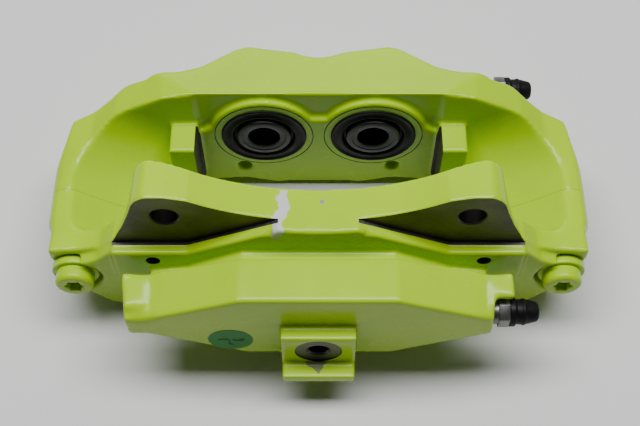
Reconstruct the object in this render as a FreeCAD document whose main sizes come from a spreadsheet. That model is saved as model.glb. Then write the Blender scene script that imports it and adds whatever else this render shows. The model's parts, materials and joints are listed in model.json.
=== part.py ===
import FreeCAD, Part
import math
import os
import re

import Sketcher

# Two-piece fixed disc brake caliper with two pistons in each half, lying on its radially
# outer side. X runs along the disc's edge, Y along the wheel axle (outboard is +Y) and
# +Z points from the resting face towards the hub. The halves meet on the parting plane,
# which is also the disc's middle plane. Inside each sub-part the parting plane is Y = 0;
# the sub-part's Placement then moves it to parting_y, so that the row's origin is the
# middle of the resting face.

DIMENSIONS = {
    # wheel and disc
    "wheel_z": 184.0,           # height of the wheel axis above the resting face
    "disc_clear_rad": 178.0,    # radius of the space that the disc turns in
    "shell_rad": 203.0,         # radius of the outer shell about the wheel axis
    "bowl_depth": 36.0,         # depth of the outboard bowl at its lower wall
    "bowl_top_depth": 37.6,     # depth of the outboard bowl at its top edge
    "bowl_blend_rad": 30.0,     # radius of the bowl's rounded section
    "inner_groove_depth": 22.5,  # depth of the disc space in the inboard half
    "inner_groove_blend": 7.0,  # radius at the bottom of that space
    "open_rad": 60.0,           # radius, nearer the axis than any material
    # arms
    "arm_half": 129.5,          # half the overall width
    "arm_low_x": 127.5,
    "arm_waist_low": 32.0,
    "arm_waist_high": 37.0,
    "arm_shoulder_x": 126.5,
    "arm_shoulder_z": 46.5,
    "arm_top_x": 124.0,
    "arm_top_z": 49.0,
    "arm_near_depth": 33.5,     # parting plane to the bolt seats
    "arm_neck_x": 124.8,        # half width beside the bolt seats
    "arm_neck_start": 14.0,
    "arm_neck_end": 19.5,
    # outboard half
    "waist_reach": 64.4,        # parting plane to the back wall, between the cylinders
    "block_top_z": 74.6,
    "block_top_half": 61.0,
    "back_reach": 72.0,         # parting plane to the back wall, behind the cylinders
    "back_round": 14.0,
    "back_waist_round": 19.5,
    "slope_back_z": 67.2,       # height of the top surface at back_reach
    "low_slope_y": 47.0,
    "low_slope_z": 24.0,
    # pad window, bores, pistons
    "window_half": 60.0,        # half the length between the pad abutments
    "bore_x": 27.0,
    "bore_z": 44.0,
    "bore_face": 34.5,          # parting plane to the bore faces
    "set_back": 37.5,           # parting plane to the wall round the bore faces
    "bore_rad": 15.05,
    "bore_bottom": 63.5,
    "hump_rad": 26.5,
    "boot_seat_rad": 21.0,
    "boot_seat_depth": 2.6,
    "face_ring_rad": 24.25,
    "face_ring_width": 0.5,
    "face_ring_depth": 0.8,
    "seal_groove_near": 45.0,
    "seal_groove_far": 48.2,
    "seal_groove_rad": 17.6,
    "piston_rad": 15.0,
    "piston_face": 33.2,
    "piston_back": 61.0,
    "piston_neck_rad": 13.35,
    "piston_neck_back": 39.0,
    "piston_hollow_rad": 7.65,
    "piston_hollow_back": 53.0,
    "piston_chamfer": 0.8,
    "boot_lip_gap": 0.05,
    "fold_rad": 15.5,
    "fold_thick": 0.7,
    "seal_gap": 0.02,
    # abutments
    "abut_wide": 12.0,
    "abut_near": 19.0,
    "abut_top_z": 53.5,
    "abut_low_z": 10.0,
    # saddle and mounting ears
    "saddle_back": 18.4,        # parting plane to the saddle's face towards the disc
    "ear_back": 14.6,           # parting plane to the ears' backs
    "ear_back_half": 75.0,
    "mount_face": 34.4,         # parting plane to the mounting faces
    "lip_reach": 40.8,          # parting plane to the front of the lip under them
    "lip_z": 60.0,
    "saddle_rad": 105.0,        # radius of the saddle's edge about the wheel axis
    "saddle_arc_half": 56.0,
    "saddle_under_z": 72.0,
    "under_flat_half": 26.0,
    "ear_foot_x": 93.4,
    "ear_foot_back_x": 86.5,
    "ear_side_x": 81.5,
    "ear_side_z": 89.5,
    "ear_top_x": 74.0,
    "ear_top_z": 97.8,
    "ear_crown_x": 66.0,
    "ear_round": 12.0,
    "mount_pitch": 134.0,
    "mount_z": 81.8,
    "mount_hole_rad": 6.2,
    "mount_chamfer": 0.6,
    "pocket_bend_x": 59.0,
    "pocket_tip_x": 17.5,
    "pocket_tip_z": 80.0,
    "lip_shoulder_x": 20.0,
    "wall_half": 93.4,
    "wall_hole_x": 75.0,
    "wall_hole_z": 53.5,
    "wall_hole_rad": 3.25,
    "wall_hole_deep": 8.0,
    "shoulder_reach": 39.0,
    # cylinder block of the inboard half
    "body_back": 49.0,
    "body_reach": 70.3,
    "body_top_z": 71.7,
    "body_low_z": 18.0,
    "body_flat_half": 34.0,
    "body_end_left": 88.0,
    "body_end_right": 87.0,
    "body_end_top_z": 58.0,
    "body_front_top_z": 53.5,
    "body_end_low_z": 38.5,
    "body_bend_x": 77.0,
    "body_draft": 2.5,
    "body_groove_z": 63.5,
    "body_groove_low_z": 46.5,
    "web_shoulder_x": 60.0,
    "pad_end_reach": 65.0,
    "pad_end_z": 57.5,
    "notch_x": 78.0,
    "notch_back": 52.3,
    "notch_top_z": 53.0,
    # brake line port
    "port_boss_half": 16.8,
    "port_boss_reach": 77.3,
    "port_boss_top_z": 48.0,
    "port_ledge_z": 24.0,
    "port_ledge_low_z": 17.8,
    "port_ledge_half": 16.6,
    "port_ledge_reach": 85.0,
    "port_z": 35.5,
    "port_rad": 4.65,
    "port_deep": 14.5,
    "port_face_rad": 10.75,
    "port_face_deep": 0.4,
    "gallery_rad": 2.0,
    "gallery_y": 61.5,
    "gallery_z": 38.0,
    # bleeders
    "bleed_y": 62.0,
    "bleed_z": 44.7,
    "bleed_seat_inboard": 78.0,
    "bleed_seat_outboard": 86.5,
    "bleed_boss_rad": 7.5,

    "bleed_hole_rad": 4.55,
    "bleed_thread_rad": 4.5,
    "bleed_thread_deep": 15.0,
    "bleed_point": 4.0,
    "bleed_collar": 2.5,
    "bleed_collar_rad": 5.4,
    "bleed_hex_flats": 12.0,
    "bleed_hex_long": 5.0,
    "bleed_nipple_rad": 3.2,
    "bleed_nipple_long": 11.0,
    "bleed_core_rad": 1.0,
    "cap_flange_rad": 6.65,
    "cap_flange_long": 2.4,
    "cap_waist_rad": 5.7,
    "cap_bead_rad": 6.1,
    "cap_nose_rad": 4.45,
    "cap_long": 13.2,
    "cap_wall_gap": 0.05,
    # bridge bolts, washers, sleeves
    "bolt_x": 114.0,
    "bolt_z": 34.0,
    "bolt_rad": 6.0,
    "bolt_hole_rad": 6.6,
    "bolt_tap_rad": 6.05,
    "bolt_tap_deep": 24.0,
    "bolt_into": 21.0,
    "bolt_head_rad": 9.0,
    "bolt_head_long": 7.0,
    "bolt_edge": 1.2,
    "torx_out_rad": 4.7,
    "torx_in_rad": 3.4,
    "torx_deep": 4.0,
    "washer_rad": 11.0,
    "washer_hole_rad": 6.3,
    "washer_thick": 4.5,
    "seat_rad": 12.6,
    "seat_deep": 1.0,
    "sleeve_rad": 7.6,
    "sleeve_inner_rad": 6.3,
    "sleeve_half_long": 6.0,
    "sleeve_gap": 0.5,
    # fluid crossover at the parting plane
    "cross_x": 98.0,
    "cross_z": 20.8,
    "cross_rad": 2.0,
    "cross_deep": 26.0,
    "cross_seat_rad": 5.2,
    "cross_seat_deep": 1.5,
    "cross_seal_rad": 4.0,
    "cross_cord_rad": 0.9,
    # foundry marks and label
    "core_hole_x": 38.0,
    "core_hole_z": 17.0,
    "core_hole_rad": 3.5,
    "core_hole_deep": 6.0,
    "label_x": -40.0,
    "label_z": 33.0,
    "label_rad": 10.25,
    "label_thick": 0.15,
}

doc = FreeCAD.newDocument("brake_caliper")
sheet = doc.addObject("Spreadsheet::Sheet", "Sheet")
for row, (alias, value) in enumerate(DIMENSIONS.items(), start=1):
    sheet.set(f"A{row}", alias)
    sheet.set(f"B{row}", str(value))
    sheet.setAlias(f"B{row}", alias)
doc.recompute()

PARTING_Y = "(port_ledge_reach - back_reach) / 2"


def bound(text):
    """The expression with each dimension's name pointed at its cell."""
    def to_cell(match):
        word = match.group(0)
        return f"Sheet.{word}" if word in DIMENSIONS else word

    return re.sub(r"[a-z_]+", to_cell, text)


def number(text):
    """The expression's present value."""
    return float(sheet.evalExpression(bound(text)))


# ---- sketches and features -------------------------------------------------------------

PLANE_NORMAL = {"XY": 1, "XZ": -1, "YZ": 1}


def origin_plane(body, plane):
    for feature in body.Origin.OriginFeatures:
        if feature.Role == f"{plane}_Plane":
            return feature
    raise RuntimeError(f"{body.Name} has no {plane} plane")


def add_sketch(body, name, plane, station="0"):
    """An empty sketch on the plane, moved to the station along the plane's own axis."""
    sketch = body.newObject("Sketcher::SketchObject", name)
    sketch.AttachmentSupport = [(origin_plane(body, plane), "")]
    sketch.MapMode = "FlatFace"
    sign = PLANE_NORMAL[plane]
    sketch.setExpression("AttachmentOffset.Base.z", bound(f"{sign} * ({station})"))
    return sketch


def pin_point(sketch, geo, pos, across, up):
    """Tie a point of the sketch to the two expressions that place it."""
    for kind, text in (("DistanceX", across), ("DistanceY", up)):
        value = number(text)
        if abs(value) < 1e-9:
            axis = -2 if kind == "DistanceX" else -1
            sketch.addConstraint(Sketcher.Constraint("PointOnObject", geo, pos, axis))
        elif value > 0:
            index = sketch.addConstraint(Sketcher.Constraint(kind, -1, 1, geo, pos, value))
            sketch.setExpression(f"Constraints[{index}]", bound(text))
        else:
            index = sketch.addConstraint(Sketcher.Constraint(kind, geo, pos, -1, 1, -value))
            sketch.setExpression(f"Constraints[{index}]", bound(f"-({text})"))


def add_circle(sketch, across, up, radius):
    centre = FreeCAD.Vector(number(across), number(up), 0)
    circle = Part.Circle(centre, FreeCAD.Vector(0, 0, 1), number(radius))
    geo = sketch.addGeometry(circle, False)
    pin_point(sketch, geo, 3, across, up)
    index = sketch.addConstraint(Sketcher.Constraint("Radius", geo, number(radius)))
    sketch.setExpression(f"Constraints[{index}]", bound(radius))


def arc_between(start, end, radius, turn):
    """The short arc from start to end; turn is 1 counter-clockwise and -1 clockwise."""
    chord = end - start
    half = chord.Length / 2
    reach = math.sqrt(radius * radius - half * half)
    left = FreeCAD.Vector(-chord.y, chord.x, 0).normalize()
    centre = start + chord * 0.5 + left * reach * turn
    circle = Part.Circle(centre, FreeCAD.Vector(0, 0, 1), radius)
    first, last = (start, end) if turn > 0 else (end, start)
    return Part.ArcOfCircle(circle, circle.parameter(first), circle.parameter(last))


def add_outline(sketch, points):
    """A closed outline. A point is (across, up) before a straight side, or
    (across, up, radius, turn) before a round one."""
    places = [FreeCAD.Vector(number(p[0]), number(p[1]), 0) for p in points]
    ends = []
    for index, point in enumerate(points):
        start = places[index]
        end = places[(index + 1) % len(points)]
        if len(point) == 2:
            geo = sketch.addGeometry(Part.LineSegment(start, end), False)
            ends.append((geo, 1, 2))
            continue
        radius, turn = point[2], point[3]
        geo = sketch.addGeometry(arc_between(start, end, number(radius), turn), False)
        ends.append((geo, 1, 2) if turn > 0 else (geo, 2, 1))
        hold = sketch.addConstraint(Sketcher.Constraint("Radius", geo, number(radius)))
        sketch.setExpression(f"Constraints[{hold}]", bound(radius))
    for index, (geo, first, last) in enumerate(ends):
        next_geo, next_first, next_last = ends[(index + 1) % len(ends)]
        sketch.addConstraint(Sketcher.Constraint("Coincident", geo, last, next_geo, next_first))
    for (geo, first, last), point in zip(ends, points):
        pin_point(sketch, geo, first, point[0], point[1])


def both_sides(half):
    """The right half of an outline, from its low end to its high end, and its mirror."""
    mirrored = []
    for index in range(len(half) - 1, -1, -1):
        across, up = half[index][:2]
        side = half[index - 1][2:] if index > 0 else ()
        mirrored.append((f"-({across})", up) + tuple(side))
    return list(half) + mirrored


def draw(sketch, shapes):
    for shape in shapes:
        if shape[0] == "circle":
            add_circle(sketch, *shape[1:])
        else:
            add_outline(sketch, shape)


def extrude(body, name, plane, shapes, start, stop, cut=False):
    """Pad or pocket the shapes along the plane's axis, from start to stop."""
    sketch = add_sketch(body, f"{name}_sketch", plane, start)
    draw(sketch, shapes)
    doc.recompute()
    before = body.Shape.Volume if body.Tip else 0.0
    kind = "PartDesign::Pocket" if cut else "PartDesign::Pad"
    feature = body.newObject(kind, name)
    feature.Profile = sketch
    feature.setExpression("Length", bound(f"abs(({stop}) - ({start}))"))
    towards = 1 if number(stop) > number(start) else -1
    along_normal = towards * PLANE_NORMAL[plane] > 0
    feature.Reversed = along_normal if cut else not along_normal
    doc.recompute()
    require_change(body, name, before, cut)
    return feature


def revolve(body, name, plane, shapes, axis_up, station="0", cut=False, axis_across=None):
    """Turn the shapes about a line across the sketch at axis_up, or up it at axis_across."""
    sketch = add_sketch(body, f"{name}_sketch", plane, station)
    draw(sketch, shapes)
    if axis_across is None:
        ends = (("-10", axis_up), ("10", axis_up))
    else:
        ends = ((axis_across, "-10"), (axis_across, "10"))
    places = [FreeCAD.Vector(number(a), number(b), 0) for a, b in ends]
    line = sketch.addGeometry(Part.LineSegment(*places), True)
    for position, (across, up) in enumerate(ends, start=1):
        pin_point(sketch, line, position, across, up)
    doc.recompute()
    before = body.Shape.Volume if body.Tip else 0.0
    kind = "PartDesign::Groove" if cut else "PartDesign::Revolution"
    feature = body.newObject(kind, name)
    feature.Profile = sketch
    feature.ReferenceAxis = (sketch, ["Axis0"])
    feature.Angle = 360
    doc.recompute()
    require_change(body, name, before, cut)
    return feature


def loft(body, name, plane, sections):
    """Join outlines that stand at different stations along the plane's axis."""
    sketches = []
    for index, (station, outline) in enumerate(sections):
        sketch = add_sketch(body, f"{name}_sketch_{index}", plane, station)
        add_outline(sketch, outline)
        sketches.append(sketch)
    doc.recompute()
    before = body.Shape.Volume if body.Tip else 0.0
    feature = body.newObject("PartDesign::AdditiveLoft", name)
    feature.Profile = sketches[0]
    feature.Sections = sketches[1:]
    feature.Ruled = True
    doc.recompute()
    require_change(body, name, before, False)
    return feature


def require_change(body, name, before, cut):
    """Stop if a feature failed or left the body's volume as it was."""
    change = body.Shape.Volume - before
    if abs(change) < 1e-3 or (change > 0) == cut:
        raise RuntimeError(f"{body.Name}: {name} changed the volume by {change:.3f}")


def chamfer_circles(body, name, radius, size, keep):
    """Chamfer the body's round edges of one radius that keep() accepts."""
    base = body.Tip
    edges = []
    for index, edge in enumerate(base.Shape.Edges, start=1):
        curve = edge.Curve
        is_circle = curve.TypeId == "Part::GeomCircle"
        if is_circle and abs(curve.Radius - number(radius)) < 1e-6 and keep(curve.Center):
            edges.append(f"Edge{index}")
    feature = body.newObject("PartDesign::Chamfer", name)
    feature.Base = (base, edges)
    feature.setExpression("Size", bound(size))
    doc.recompute()


# ---- sub-parts -------------------------------------------------------------------------

NODES = []


def place(node, label):
    """Give a sub-part its label and its place in the row's frame."""
    node.Label = label
    node.setExpression("Placement.Base.y", bound(PARTING_Y))
    NODES.append(node)


def new_body(name):
    return doc.addObject("PartDesign::Body", name)


def pair_of(body, label):
    """A node that holds the body and its mirror across X = 0."""
    mirror = doc.addObject("Part::Mirroring", f"{label}_mirror")
    mirror.Source = body
    mirror.Normal = (1, 0, 0)
    mirror.Base = (0, 0, 0)
    group = doc.addObject("Part::Compound", f"{label}_pair")
    group.Links = [body, mirror]
    doc.recompute()
    place(group, label)


FOOT_HALF = "sqrt(shell_rad ^ 2 - wheel_z ^ 2)"
ARM_LOW_Z = "wheel_z - sqrt(shell_rad ^ 2 - arm_low_x ^ 2)"
ARM_PROFILE = [
    (FOOT_HALF, "0", "shell_rad", 1),
    ("arm_low_x", ARM_LOW_Z),
    ("arm_half", "arm_waist_low"),
    ("arm_half", "arm_waist_high"),
    ("arm_shoulder_x", "arm_shoulder_z"),
    ("arm_top_x", "arm_top_z"),
]


def rectangle(left, right, low, high):
    return [(left, low), (right, low), (right, high), (left, high)]


def cut_bores(body, side):
    """Two stepped bores with a boot seat and a seal groove; side is 1 outboard."""
    hand = f"{side} * "
    for x_sign, word in ((-1, "left"), (1, "right")):
        steps = [
            (hand + "(bore_face - 1)", "bore_z"),
            (hand + "bore_bottom", "bore_z"),
            (hand + "(bore_bottom - 1)", "bore_z + bore_rad"),
            (hand + "seal_groove_far", "bore_z + bore_rad"),
            (hand + "seal_groove_far", "bore_z + seal_groove_rad"),
            (hand + "seal_groove_near", "bore_z + seal_groove_rad"),
            (hand + "seal_groove_near", "bore_z + bore_rad"),
            (hand + "(bore_face + boot_seat_depth)", "bore_z + bore_rad"),
            (hand + "(bore_face + boot_seat_depth)", "bore_z + boot_seat_rad"),
            (hand + "(bore_face - 1)", "bore_z + boot_seat_rad"),
        ]
        revolve(body, f"bore_{word}", "YZ", [steps], "bore_z", f"{x_sign} * bore_x", cut=True)


def cut_face_rings(body, side):
    """A thin turned ring in the bore face, round each boot."""
    rings = []
    for x_sign in (-1, 1):
        centre = (f"{x_sign} * bore_x", "bore_z")
        rings.append(("circle", *centre, "face_ring_rad"))
        rings.append(("circle", *centre, "face_ring_rad - face_ring_width"))
    start = f"{side} * (bore_face - 1)"
    stop = f"{side} * (bore_face + face_ring_depth)"
    extrude(body, "face_rings", "XZ", rings, start, stop, cut=True)


def add_abutments(body, side):
    """The blocks that the ends of the pads push against."""
    for x_sign, word in ((-1, "left"), (1, "right")):
        block = rectangle(
            f"{x_sign} * window_half",
            f"{x_sign} * (window_half + abut_wide)",
            f"{side} * abut_near",
            f"{side} * set_back",
        )
        extrude(body, f"abutment_{word}", "XY", [block], "abut_low_z", "abut_top_z")


def cut_crossover(body, side):
    """The fluid drilling at the parting plane, with the seat for its seal."""
    hole = ("circle", "-cross_x", "cross_z", "cross_rad")
    extrude(body, "crossover", "XZ", [hole], "0", f"{side} * cross_deep", cut=True)
    seat = ("circle", "-cross_x", "cross_z", "cross_seat_rad")
    if side > 0:
        extrude(body, "crossover_seat", "XZ", [seat], "0", "cross_seat_deep", cut=True)


def bolt_circles(radius):
    return [("circle", "-bolt_x", "bolt_z", radius), ("circle", "bolt_x", "bolt_z", radius)]


def make_outboard_housing():
    body = new_body("OutboardHousing")
    front = ARM_PROFILE + [
        ("arm_top_x - 14", "arm_top_z + 4"),
        ("98", "61.5"),
        ("75", "72"),
        ("block_top_half", "block_top_z"),
    ]
    extrude(body, "block", "XZ", [both_sides(front)], "0", "back_reach")

    # the wall seen from above: a hump behind each cylinder
    plan = both_sides([
        ("arm_half", "-1"),
        ("arm_half", "4"),
        ("121", "39.5"),
        ("101", "47.5"),
        ("94", "52"),
        ("83.5", "52"),
        ("81.5", "53.8"),
        ("68", "54.3"),
        ("58", "57.6"),
        ("44", "67.6", "back_round", 1),
        ("33", "back_reach"),
        ("11", "waist_reach + 3.4", "back_waist_round", -1),
    ])
    frame = rectangle("-arm_half - 10", "arm_half + 10", "-2", "back_reach + 10")
    extrude(body, "plan_trim", "XY", [frame, plan], "-1", "block_top_z + 1", cut=True)

    # the top slopes down to the back, and the foot slopes up to it
    slope = [
        ("bowl_top_depth", "block_top_z"),
        ("back_reach + 1", "slope_back_z"),
        ("back_reach + 1", "block_top_z + 1"),
        ("bowl_top_depth", "block_top_z + 1"),
    ]
    extrude(body, "top_slope", "YZ", [slope], "-arm_half", "arm_half", cut=True)
    foot = [
        ("low_slope_y", "0"),
        ("low_slope_y", "-1"),
        ("back_reach + 1", "-1"),
        ("back_reach + 1", "low_slope_z + 8"),
        ("waist_reach", "low_slope_z"),
    ]
    extrude(body, "foot_slope", "YZ", [foot], "-arm_half", "arm_half", cut=True)

    bleed_boss = ("circle", "bleed_y", "bleed_z", "bleed_boss_rad")
    extrude(body, "bleeder_boss", "YZ", [bleed_boss], "bore_x", "bleed_seat_outboard")

    # the bowl that clears the disc's edge, turned about the wheel axis
    bowl = [
        ("-1", "wheel_z - open_rad"),
        ("-1", "wheel_z - disc_clear_rad"),
        ("bowl_depth - bowl_blend_rad", "wheel_z - disc_clear_rad", "bowl_blend_rad", 1),
        ("bowl_depth", "wheel_z - disc_clear_rad + bowl_blend_rad"),
        ("bowl_top_depth", "block_top_z + 1"),
        ("bowl_top_depth", "wheel_z - open_rad"),
    ]
    revolve(body, "bowl", "YZ", [bowl], "wheel_z", cut=True)

    add_abutments(body, 1)
    window = rectangle("-window_half", "window_half", "-1", "block_top_z + 1")
    extrude(body, "window", "XZ", [window], "-1", "set_back", cut=True)

    # the raised bore face: a straight foot with a hump over each bore
    hump_side_z = "bore_z + 6.5"
    hump_side_x = "bore_x + sqrt(hump_rad ^ 2 - 6.5 ^ 2)"
    hump_dip_z = "bore_z + sqrt(hump_rad ^ 2 - (bore_x - 4) ^ 2)"
    hump_top_z = "bore_z + hump_rad"
    face = both_sides([
        ("16", "2"),
        ("19", "1"),
        ("24", "1.5"),
        ("38", "5.5"),
        ("window_half", "3"),
        ("window_half", "bore_z + 2"),
        (hump_side_x, hump_side_z, "hump_rad", 1),
        ("bore_x", hump_top_z, "hump_rad", 1),
        ("4", hump_dip_z),
    ])
    extrude(body, "bore_face_block", "XZ", [face], "set_back", "bore_face")
    under = both_sides([
        ("window_half", "-1"),
        ("window_half", "3"),
        ("38", "5.5"),
        ("24", "1.5"),
        ("19", "0.8"),
        ("16", "2"),
    ])
    extrude(body, "scallops", "XZ", [under], "bore_face - 1", "bore_face + 8", cut=True)

    cut_bores(body, 1)
    cut_face_rings(body, 1)
    core_holes = [
        ("circle", "-core_hole_x", "core_hole_z", "core_hole_rad"),
        ("circle", "core_hole_x", "core_hole_z", "core_hole_rad"),
    ]
    core_stop = "bore_face + core_hole_deep"
    extrude(body, "core_holes", "XZ", core_holes, "bore_face - 1", core_stop, cut=True)

    extrude(body, "bolt_threads", "XZ", bolt_circles("bolt_tap_rad"), "0", "bolt_tap_deep", cut=True)
    sleeve_stop = "sleeve_half_long + sleeve_gap"
    extrude(body, "sleeve_seats", "XZ", bolt_circles("sleeve_rad"), "0", sleeve_stop, cut=True)
    cut_crossover(body, 1)
    cut_bleeder_hole(body, 1, "bleed_seat_outboard")
    place(body, "outboard_housing")


def cut_bleeder_hole(body, side, seat):
    """The bleeder's threaded hole, its conical seat and the drilling to the bore."""
    tip = f"{seat} - bleed_thread_deep - bleed_point"
    steps = [
        ("bore_x", "bleed_z"),
        (f"{seat} + 1", "bleed_z"),
        (f"{seat} + 1", "bleed_z + bleed_hole_rad"),
        (f"{seat} - bleed_thread_deep - 0.2", "bleed_z + bleed_hole_rad"),
        (tip, "bleed_z + gallery_rad"),
        ("bore_x", "bleed_z + gallery_rad"),
    ]
    sketch_axis = [(x, z) for x, z in steps]
    station = f"{side} * bleed_y"
    revolve(body, "bleeder_hole", "XZ", [sketch_axis], "bleed_z", station, cut=True)


def make_inboard_housing():
    body = new_body("InboardHousing")
    rear = ARM_PROFILE + [
        ("110", "50.5"),
        ("100", "53"),
        ("wall_half", "lip_z"),
    ]
    extrude(body, "rear_block", "XZ", [both_sides(rear)], "0", "-arm_near_depth")
    for x_sign, word in ((-1, "left"), (1, "right")):
        neck = [
            (f"{x_sign} * (arm_half + 1)", "-arm_neck_start"),
            (f"{x_sign} * arm_half", "-arm_neck_start"),
            (f"{x_sign} * arm_neck_x", "-arm_neck_end"),
            (f"{x_sign} * arm_neck_x", "-arm_near_depth - 1"),
            (f"{x_sign} * (arm_half + 1)", "-arm_near_depth - 1"),
        ]
        extrude(body, f"neck_{word}", "XY", [neck], "-1", "block_top_z", cut=True)

    # the disc's space
    deep = "-inner_groove_depth"
    blend = "inner_groove_blend"
    groove = [
        ("1", "wheel_z - open_rad"),
        (deep, "wheel_z - open_rad"),
        (deep, f"wheel_z - disc_clear_rad + {blend}", blend, 1),
        (f"{deep} + {blend}", "wheel_z - disc_clear_rad"),
        ("1", "wheel_z - disc_clear_rad"),
    ]
    revolve(body, "disc_space", "YZ", [groove], "wheel_z", cut=True)
    add_abutments(body, -1)

    wall = both_sides([("40", "14"), ("88", "30"), ("wall_half", "38"), ("wall_half", "lip_z")])
    extrude(body, "wall", "XZ", [wall], "-arm_near_depth + 6", "-lip_reach")
    shoulder = both_sides([
        ("86", "0.4"),
        ("102", "8.6"),
        ("111", "20"),
        ("113", "26"),
        ("113", "45"),
        ("102", "50"),
        ("wall_half", "lip_z - 1"),
    ])
    extrude(body, "bolt_shoulders", "XZ", [shoulder], "-arm_near_depth + 1", "-shoulder_reach")

    # the saddle with its two ears
    saddle_end_z = "wheel_z - sqrt(saddle_rad ^ 2 - saddle_arc_half ^ 2)"

    def saddle_outline(foot_x, side_x):
        return both_sides([
            (foot_x, "lip_z - 4"),
            (foot_x, "lip_z"),
            (side_x, "ear_side_z", "ear_round", 1),
            ("ear_top_x", "ear_top_z"),
            ("ear_crown_x", "ear_top_z"),
            ("saddle_arc_half", saddle_end_z, "saddle_rad", -1),
        ])

    loft(body, "saddle", "XZ", [
        ("-ear_back", saddle_outline("ear_foot_back_x", "ear_side_x - 1")),
        ("-lip_reach", saddle_outline("ear_foot_x", "ear_side_x")),
    ])
    relief = both_sides([
        ("saddle_arc_half - 2", "-saddle_back"),
        ("ear_back_half", "-ear_back"),
        ("ear_back_half", "-ear_back + 1"),
    ])
    extrude(body, "saddle_relief", "XY", [relief], "lip_z - 5", "ear_top_z + 5", cut=True)

    # the mounting faces are machined back from the saddle's front, above a lip
    for x_sign, word in ((-1, "left"), (1, "right")):
        machined = [
            (f"{x_sign} * pocket_tip_x", "pocket_tip_z"),
            (f"{x_sign} * pocket_bend_x", "lip_z"),
            (f"{x_sign} * (ear_foot_x + 5)", "lip_z"),
            (f"{x_sign} * (ear_foot_x + 5)", "ear_top_z + 5"),
            (f"{x_sign} * pocket_tip_x", "ear_top_z + 5"),
        ]
        start = "-lip_reach - 1"
        extrude(body, f"mount_face_{word}", "XZ", [machined], start, "-mount_face", cut=True)
    lip_slope_z = "wheel_z - saddle_rad"
    for x_sign, word in ((-1, "left"), (1, "right")):
        bevel = [
            ("-lip_reach - 1", f"{lip_slope_z} - 3.5"),
            ("-lip_reach", f"{lip_slope_z} - 3.0"),
            ("-mount_face", f"{lip_slope_z} + 1.5"),
            ("-mount_face", f"{lip_slope_z} + 10"),
            ("-lip_reach - 1", f"{lip_slope_z} + 10"),
        ]
        inner = f"{x_sign} * lip_shoulder_x"
        extrude(body, f"lip_bevel_{word}", "YZ", [bevel], inner, f"{x_sign} * pocket_bend_x", cut=True)

    # the cylinder block
    def block_outline(end_top_z, draft):
        return [
            ("-body_flat_half", "body_low_z"),
            ("body_flat_half", "body_low_z"),
            ("body_bend_x", "body_end_low_z"),
            ("body_end_right", "body_end_low_z"),
            ("body_end_right", end_top_z),
            ("body_bend_x", end_top_z),
            ("body_flat_half", "body_top_z"),
            ("-body_flat_half", "body_top_z"),
            ("-body_bend_x", end_top_z),
            (f"-body_end_left + {draft}", end_top_z),
            (f"-body_end_left + {draft}", "body_end_low_z"),
            ("-body_bend_x", "body_end_low_z"),
        ]

    loft(body, "cylinder_block", "XZ", [
        ("-body_back", block_outline("body_end_top_z", "0")),
        ("-body_reach", block_outline("body_front_top_z", "body_draft")),
    ])
    web = both_sides([
        ("body_flat_half", "body_low_z"),
        ("body_bend_x", "body_end_low_z"),
        ("body_bend_x", "body_groove_low_z"),
        ("web_shoulder_x", "body_groove_low_z + 3"),
        ("body_flat_half", "body_groove_z"),
    ])
    extrude(body, "web", "XZ", [web], "-bore_face", "-body_back - 1")

    for start, stop, word in (
        ("-body_end_left + 2", "-body_bend_x", "left"),
        ("body_bend_x", "body_end_right", "right"),
    ):
        end_pad = [
            ("-body_back", "pad_end_z - 10"),
            ("-body_back", "pad_end_z"),
            ("-pad_end_reach", "pad_end_z"),
            ("-body_reach", "pad_end_z - 7"),
            ("-body_reach", "pad_end_z - 10"),
        ]
        extrude(body, f"end_pad_{word}", "YZ", [end_pad], start, stop)

    # room for the bleeder screw at the right-hand end
    notch = rectangle("notch_x", "body_end_right + 1", "body_low_z", "notch_top_z")
    extrude(body, "bleeder_notch", "XZ", [notch], "-notch_back", "-body_reach - 1", cut=True)
    corner = rectangle("notch_x", "body_end_right + 1", "body_low_z", "body_top_z")
    corner_start = "-bleed_y + 1.5"
    extrude(body, "end_corner", "XZ", [corner], corner_start, "-body_reach - 1", cut=True)

    boss = rectangle("-port_boss_half", "port_boss_half", "port_ledge_z", "port_boss_top_z")
    extrude(body, "port_boss", "XZ", [boss], "-body_reach + 4", "-port_boss_reach")
    ledge = rectangle("-port_ledge_half", "port_ledge_half", "port_ledge_low_z", "port_ledge_z")
    extrude(body, "port_ledge", "XZ", [ledge], "-body_reach + 4", "-port_ledge_reach")

    # the pads' window
    window = both_sides([
        ("window_half", "-1"),
        ("window_half", "lip_z - 3"),
        ("under_flat_half", "saddle_under_z"),
    ])
    extrude(body, "window", "XZ", [window], "1", "-bore_face", cut=True)

    cut_bores(body, -1)
    port = [("circle", "0", "port_z", "port_rad")]
    port_stop = "-port_boss_reach + port_deep"
    extrude(body, "port", "XZ", port, "-port_boss_reach - 1", port_stop, cut=True)
    port_face = [("circle", "0", "port_z", "port_face_rad")]
    face_stop = "-port_boss_reach + port_face_deep"
    extrude(body, "port_face", "XZ", port_face, "-port_boss_reach - 1", face_stop, cut=True)
    gallery = [("circle", "-gallery_y", "gallery_z", "gallery_rad")]
    extrude(body, "gallery", "YZ", gallery, "-bore_x", "bore_x", cut=True)

    mount_holes = [
        ("circle", "-mount_pitch / 2", "mount_z", "mount_hole_rad"),
        ("circle", "mount_pitch / 2", "mount_z", "mount_hole_rad"),
    ]
    extrude(body, "mount_holes", "XZ", mount_holes, "-mount_face - 1", "-ear_back + 1", cut=True)
    wall_holes = [
        ("circle", "-wall_hole_x", "wall_hole_z", "wall_hole_rad"),
        ("circle", "wall_hole_x", "wall_hole_z", "wall_hole_rad"),
    ]
    hole_start = "-lip_reach - 1"
    hole_stop = "-lip_reach + wall_hole_deep"
    extrude(body, "wall_holes", "XZ", wall_holes, hole_start, hole_stop, cut=True)

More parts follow.
